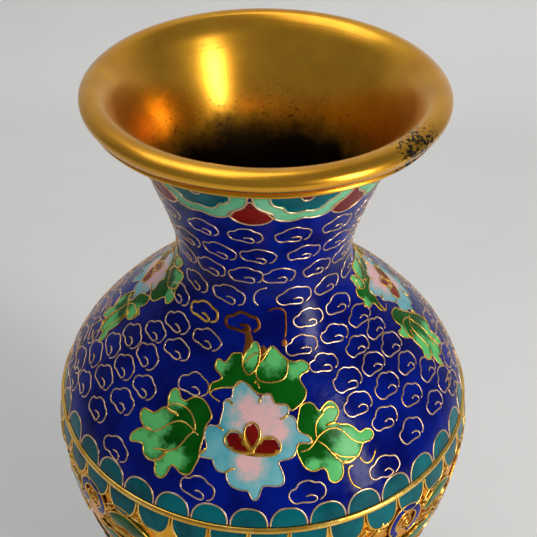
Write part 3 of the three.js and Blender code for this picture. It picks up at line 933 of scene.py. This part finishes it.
STRAY_WIRES = [
    [(7.4, 53), (9.2, 52.6), (10.2, 52)],
    [(26.2, 56), (24.6, 56.2), (24.1, 57.4), (24.8, 59), (26.8, 60.2)],
    [(28.4, 55), (29.4, 56.2), (31, 56.6), (32.4, 56.2), (34, 55.2)],
    [(-20.4, 43.5), (-18.4, 44.1), (-15.4, 44.6)],
    [(-3.2, 41.2), (-2.6, 40.6), (-1.2, 41.9)],
]
LEAVES = (
    ("left_leaf", LEFT_LEAF, LEFT_TIPS, LEFT_VEINS, LEFT_GOLD),
    ("right_leaf", RIGHT_LEAF, RIGHT_TIPS, RIGHT_VEINS, RIGHT_GOLD),
)


class Spray:
    """Carries an outline drawn on the front shoulder to another place, tilt and size."""

    def __init__(self, angle, down, tilt=0.0, size=1.0):
        self.angle = angle
        self.down = down
        self.tilt = math.radians(tilt)
        self.size = size

    def carry(self, points):
        p = np.asarray(points, float)
        home_angle, home_down = SPRAY_HOME
        if self.down == home_down and self.size == 1:
            return p + (self.angle - home_angle, 0)
        x = np.radians(p[:, 0] - home_angle) * radius_at(p[:, 1]) * self.size
        y = (home_down - p[:, 1]) * self.size
        turned_x = x * math.cos(self.tilt) - y * math.sin(self.tilt)
        turned_y = x * math.sin(self.tilt) + y * math.cos(self.tilt)
        s = self.down - turned_y
        return np.stack([self.angle + np.degrees(turned_x / radius_at(s)), s], 1)

    def glow(self, spots, peak, fall):
        """A tint that is peak at each spot and less by fall at its reach."""
        middles = self.carry([spot[:2] for spot in spots])
        reaches = [spot[2] * self.size for spot in spots]

        def tint(points):
            scale = math.radians(1) * radius_at(points[:, 1])
            best = np.zeros(len(points))
            for (a, s), reach in zip(middles, reaches):
                away = np.hypot((points[:, 0] - a) * scale, points[:, 1] - s)
                best = np.maximum(best, peak - fall * away / reach)
            return best
        return tint


SPRAY_HOME = (-3, 50)
SPRAYS = [Spray(-3, 50), Spray(97, 40, 38, 0.85), Spray(-99, 36, -45, 0.85)]
BACK_SPRAY = Spray(178, 49, size=0.95)
LOWER_SPRAYS = [Spray(angle, 113, size=0.85) for angle in (-3, 87, 177, -93)]
TIP_GLOW = (1.0, 1 / 1.1)
HEART_GLOW = (1.3, 1)


def build_spray(label, spray, in_frame=False):
    """One flower with its stamens, calyx, buds and two leaves."""
    wires = Wires(half_width=0.145 * spray.size, proud=0.10, base=0.04)
    fine = Wires(half_width=0.11 * spray.size, proud=0.07, base=0.07)
    gold = Wires(half_width=0.26 * spray.size, proud=0.16, base=0.04)

    def outline(points, closed=True):
        return spline(spray.carry(points), 5, closed)

    def cells(name, parts, look, tint=None, lift=0.04, nodes=()):
        group = Cells()
        for part in parts:
            group.add(part, lift=lift, tint=tint)
        group.build(f"{label}_{name}_glass", look, nodes)

    def node(name):
        return [f"{label}_{name}"] if in_frame else []

    cells("calyx", [outline(CALYX)], LEAF, spray.glow(CALYX_TIPS, *TIP_GLOW), nodes=node("calyx"))
    buds = [outline(bud) for bud in BUDS]
    cells("buds", buds, LEAF, spray.glow(BUD_TIPS, *TIP_GLOW), lift=0.07)
    flower = outline(FLOWER)
    cells("flower", [flower], PETAL, spray.glow(FLOWER_HEARTS, *HEART_GLOW), lift=0.06,
          nodes=node("flower"))
    cells("stamen_bed", [outline(STAMEN_BED)], BED_GILT, lift=0.09)
    stamens = []
    for points in STAMENS:
        middle = np.mean(points, axis=0)
        stamens.append(outline(middle + STAMEN_SPREAD * (np.array(points) - middle)))
    cells("stamens", stamens, RED, lift=0.13, nodes=node("stamens"))
    for name, leaf, tips, veins, thick in LEAVES:
        rim = outline(leaf)
        cells(name, [rim], LEAF, spray.glow(tips, *TIP_GLOW), nodes=node(name))
        wires.add(rim, True)
        for vein in veins:
            wires.add(outline(vein, False), base=0.06)
        for line in thick:
            gold.add(outline(line, False), base=0.05)
    fine.add(flower, True)
    for rim in [outline(CALYX)] + buds:
        wires.add(rim, True, base=0.06)
    for line in stamens:
        wires.add(line, True, base=0.13)
    for hook in FLOWER_HOOKS:
        gold.add(outline(hook, False), width=0.7, base=0.08)
    for line in STRAY_WIRES:
        wires.add(outline(line, False), base=0.0)
    wires.build(f"{label}_wires", BRIGHT_WIRE)
    fine.build(f"{label}_petal_wire", WIRE)
    gold.build(f"{label}_gold", BRIGHT_WIRE)


def spray_outlines(sprays):
    """The carried outlines of the large parts of some sprays."""
    parts = (FLOWER, CALYX, LEFT_LEAF, RIGHT_LEAF, *BUDS)
    return [spline(spray.carry(part), 5, True) for spray in sprays for part in parts]


def build_sprays():
    for i, spray in enumerate(SPRAYS):
        build_spray(f"spray_{i + 1}", spray, in_frame=True)
    build_spray("back_spray", BACK_SPRAY)
    for i, spray in enumerate(LOWER_SPRAYS):
        build_spray(f"lower_spray_{i + 1}", spray)


# ---- Belly band and foot ----
# Shapes of the belly band, in millimetres right and up from a scroll's middle.
BAND_TAIL = [(-2.9, -1.6), (-4.4, -3.3), (-6.6, -4.4), (-9, -4.2)]
BAND_BACK = [(-9.2, -5.2), (-6.2, -5.7), (-3.3, -4.4), (-1.6, -2.9)]
BAND_LEAF = [(4.6, -0.4), (6.2, 1.2), (8.4, 1.9), (10.6, 1.5), (12.8, 0.2), (14, -1.4), (12, -1.3),
             (10.2, -2.2), (8.2, -1.6), (6.2, -1.9)]
BAND_VEIN = [(4.9, -0.6), (7.4, -0.2), (10, 0), (12.6, -0.8)]
BAND_BUD = [(-5, -2), (-6.6, -1), (-8.4, -1.2), (-9.4, -2.4), (-8.8, -3.8), (-7.2, -4.4),
            (-5.6, -3.8)]
TENDRILS = [[(4.2, 1.6), (5.8, 2.8), (8.6, 3.1), (11, 2.5), (12.4, 2.8), (12, 3.6), (11, 3.4)],
            [(4.6, -2), (6.6, -3.4), (9.4, -3.4), (11.6, -4.4), (13.2, -3.6)],
            [(-4.4, 1.2), (-6.2, 1.8), (-7.6, 0.8), (-9.2, 1.4), (-8.6, 2.8), (-7.4, 2.4)]]
BEADS = [(4.4, 0.6), (5, 1.5), (-4.3, 2.2), (-5.2, 2.6), (3.6, -3.5), (-3.6, -3.2), (0, 0)]
# Distances down to the middles of the band's upper and lower scrolls.
UPPER_SCROLLS = 71.6
LOWER_SCROLLS = 79.2
FOOT_PETALS = 16
FOOT_SCALLOPS = 24


def arc(radius, start, stop, count=24, shrink=0.0):
    """Points of an arc in degrees, counter-clockwise, whose radius shrinks on the way."""
    t = np.radians(np.linspace(start, stop, count))
    r = radius - shrink * np.linspace(0, 1, count)
    return np.stack([r * np.cos(t), r * np.sin(t)], 1)


class Motif:
    """Carries shapes in millimetres to a place on the skin, turned half round if flip is -1."""

    def __init__(self, angle, down, flip=1):
        self.angle = angle
        self.down = down
        self.flip = flip

    def carry(self, points):
        p = np.asarray(points, float) * self.flip
        s = self.down - p[:, 1]
        return np.stack([self.angle + np.degrees(p[:, 0] / radius_at(s)), s], 1)


def build_belly():
    """Cobalt scrolls, leaves and buds with gilt edges in relief on the bare gilt band."""
    outer = np.vstack([arc(3.7, -75, 205), spline(BAND_TAIL)])
    inner = np.vstack([spline(BAND_BACK), arc(2.35, 232, -75, 26)])
    curl = arc(1.7, 300, -150, 30, 1.0)
    leaf = spline(BAND_LEAF, 5, True)
    vein = spline(BAND_VEIN, 5)
    bud = spline(BAND_BUD, 5, True)
    scrolls, leaves, buds, beads = Cells(), Cells(), Cells(), Cells()
    wires = Wires(half_width=0.16, proud=0.2, base=-0.1)
    for i in range(2 * BELLY_SCROLLS):
        angle = SCROLL_START + 180 / BELLY_SCROLLS * i
        spot = Motif(angle, LOWER_SCROLLS, -1) if i % 2 else Motif(angle, UPPER_SCROLLS)
        scrolls.add(spot.carry(np.vstack([outer, inner])), lift=0.12, depth=0.5)
        leaves.add(spot.carry(leaf), lift=0.1, depth=0.5, tint=lambda p: np.full(len(p), 0.25))
        buds.add(spot.carry(bud), lift=0.1, depth=0.5, tint=lambda p: np.full(len(p), 0.45))
        for x, y in BEADS:
            dot = arc(0.42, 0, 345, 14) + (x, y)
            beads.add(spot.carry(dot), lift=0.3, depth=0.5, grid=0.25)
        for line, closed, width in ((outer, False, 1), (inner, False, 1), (curl, False, 1.1),
                                    (leaf, True, 1), (vein, False, 0.8), (bud, True, 1)):
            wires.add(spot.carry(line), closed, width)
        for tendril in TENDRILS:
            wires.add(spot.carry(spline(tendril, 6)), width=1.2)
    scrolls.build("belly_scrolls", COBALT, numbered("belly_scroll", BELLY_SCROLLS))
    leaves.build("belly_leaves", LEAF)
    buds.build("belly_buds", PETAL)
    beads.build("belly_beads", BRIGHT_WIRE)
    wires.build("belly_wires", BRIGHT_WIRE)


def build_foot_ornament():
    """Upright lotus petals round the foot collar and small scallops on the skirt."""
    petals, hearts, skirts = Cells(), Cells(), Cells()
    wires = Wires(half_width=0.15, proud=0.1, base=0.03)
    s_foot = down_to(FOOT_BORDER) - RING_HALF - 0.4
    half = math.radians(180 / FOOT_PETALS) * radius_at(s_foot) * 0.93
    petal = spline(mirrored([(-half, 0.1), (-half * 1.02, 3.6), (-half * 0.75, 6.4), (0, 8.8)]), 5)
    heart = petal * (0.55, 0.62) + (0, 0.15)
    for i in range(FOOT_PETALS):
        spot = Motif(360 / FOOT_PETALS * i, s_foot)
        petals.add(spot.carry(petal), lift=0.04, depth=0.3)
        hearts.add(spot.carry(heart), lift=0.07, depth=0.2)
        wires.add(spot.carry(petal))
        wires.add(spot.carry(heart))
    s_skirt = down_to(FOOT_BORDER) + RING_HALF + 0.2
    half_angle = 180 / FOOT_SCALLOPS - 0.4
    for i in range(FOOT_SCALLOPS):
        arch = scallop(360 / FOOT_SCALLOPS * i, s_skirt, 1, 3.2, half_angle)
        skirts.add(arch, lift=0.03, depth=0.3)
        wires.add(arch)
    petals.build("foot_petals", MINT)
    hearts.build("foot_petal_hearts", RED)
    skirts.build("foot_scallops", TEAL)
    wires.build("foot_wires", BRIGHT_WIRE)


build_mouth()
build_shells()
build_base()
build_foot()
build_wire_rings()
build_grounds()
build_scallops()
build_collar()
build_sprays()
build_upper_clouds()
build_lower_clouds()
build_belly()
build_foot_ornament()


# ---- Stage, camera and light ----
CAMERA_TILT = 37.34
CAMERA_ROLL = 0.69
CAMERA_DISTANCE = 150.64
CAMERA_ASIDE = -0.39
CAMERA_ABOVE = 27.34
LENS = 67.0391
DAYLIGHT = (1, 0.98, 0.95)


def paper():
    s = Shader("studio_paper")
    s.colour(s.mix(s.spread(s.noise(14, 3), 0.3, 0.7), linear(236, 236, 235), linear(233, 233, 232)))
    s.set(rough=0.6)
    return s.material


def build_stage():
    """A pale floor that meets a pale wall behind the vase in a soft cove."""
    half_width = 2.2
    front = -1.4
    back = 0.30
    tall = 1.3
    cove = 0.05
    below = 0.0002
    middle = back - cove
    line = [(front, 0.0), (middle, 0.0)]
    line += [(middle + cove * math.sin(a), cove - cove * math.cos(a)) for a in np.linspace(0.2, 1.4, 7)]
    line += [(back, cove), (back, tall)]
    n = len(line)
    verts = [(x, y, z - below) for x in (-half_width, half_width) for y, z in line]
    faces = [(i, i + n, i + n + 1, i + 1) for i in range(n - 1)]
    mesh = bpy.data.meshes.new("studio_sweep")
    mesh.from_pydata(verts, [], faces)
    mesh.polygons.foreach_set("use_smooth", [True] * len(mesh.polygons))
    sweep = bpy.data.objects.new("studio_sweep", mesh)
    bpy.context.scene.collection.objects.link(sweep)
    mesh.materials.append(paper())


def build_camera():
    """Looks down on the mouth. The lens and the tilt are those of the reference view."""
    tilt = math.radians(CAMERA_TILT)
    roll = math.radians(CAMERA_ROLL)
    level = Vector((1, 0, 0))
    upright = Vector((0, math.sin(tilt), math.cos(tilt)))
    forward = Vector((0, math.cos(tilt), -math.sin(tilt)))
    right = level * math.cos(roll) + upright * math.sin(roll)
    up = upright * math.cos(roll) - level * math.sin(roll)
    rim = Vector((0, 0, HEIGHT - 1.4))
    spot = (rim - right * CAMERA_ASIDE - up * CAMERA_ABOVE - forward * CAMERA_DISTANCE) * MM
    data = bpy.data.cameras.new("camera")
    data.sensor_width = 36.0
    data.lens = LENS
    data.clip_start = 0.01
    camera = bpy.data.objects.new("camera", data)
    turn = Matrix((right, up, -forward)).transposed().to_4x4()
    camera.matrix_world = Matrix.Translation(spot) @ turn
    bpy.context.scene.collection.objects.link(camera)
    bpy.context.scene.camera = camera


def area_light(name, spot, target, size, power):
    data = bpy.data.lights.new(name, "AREA")
    data.shape = "RECTANGLE"
    data.size, data.size_y = size
    data.energy = power
    data.color = DAYLIGHT
    light = bpy.data.objects.new(name, data)
    light.location = spot
    light.rotation_euler = (Vector(target) - Vector(spot)).to_track_quat("-Z", "Y").to_euler()
    bpy.context.scene.collection.objects.link(light)


def build_light():
    world = bpy.data.worlds.new("studio")
    bpy.context.scene.world = world
    world.use_nodes = True
    background = world.node_tree.nodes["Background"]
    background.inputs["Color"].default_value = (0.86, 0.89, 0.95, 1)
    background.inputs["Strength"].default_value = 0.28
    area_light("window", (0.35, -0.294, 0.25), (0, 0, 0.10), (0.09, 0.40), 1.75)
    area_light("overhead", (-0.25, 0.2, 0.95), (-0.1, 0.1, 0.05), (0.7, 0.6), 3.1)


build_stage()
build_camera()
build_light()
bpy.context.scene.view_settings.view_transform = "Standard"
